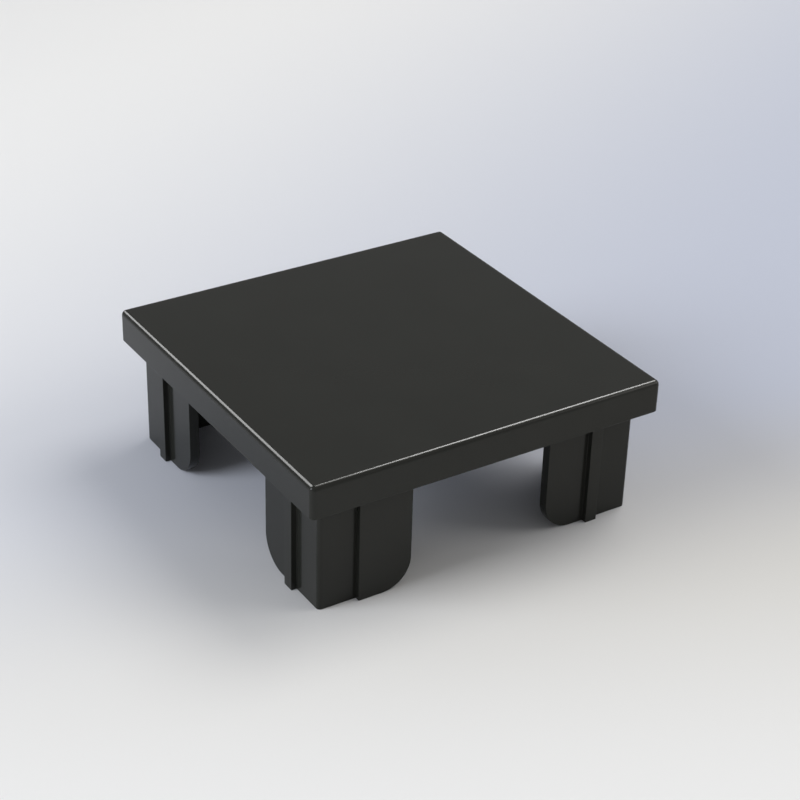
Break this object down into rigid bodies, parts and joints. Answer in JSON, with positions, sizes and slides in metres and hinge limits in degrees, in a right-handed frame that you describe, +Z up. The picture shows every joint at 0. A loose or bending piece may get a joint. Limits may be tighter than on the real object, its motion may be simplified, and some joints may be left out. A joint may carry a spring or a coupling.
{
  "type": "fence post cap",
  "caption": "Square plastic cap that closes the open end of a square tube fence post, held by ribbed corner legs that push inside.",
  "frame": {"origin": "middle of the square on which the legs' feet stand, level with the feet", "axes": "+Z up through the plate; +X and +Y along the plate's sides"},
  "size_m": [0.065, 0.065, 0.0247],
  "materials": {
    "black_plastic": "black injection moulded plastic, semi-gloss"
  },
  "bodies": {
    "root": {"post_cap": "black_plastic"}
  },
  "joints": []
}
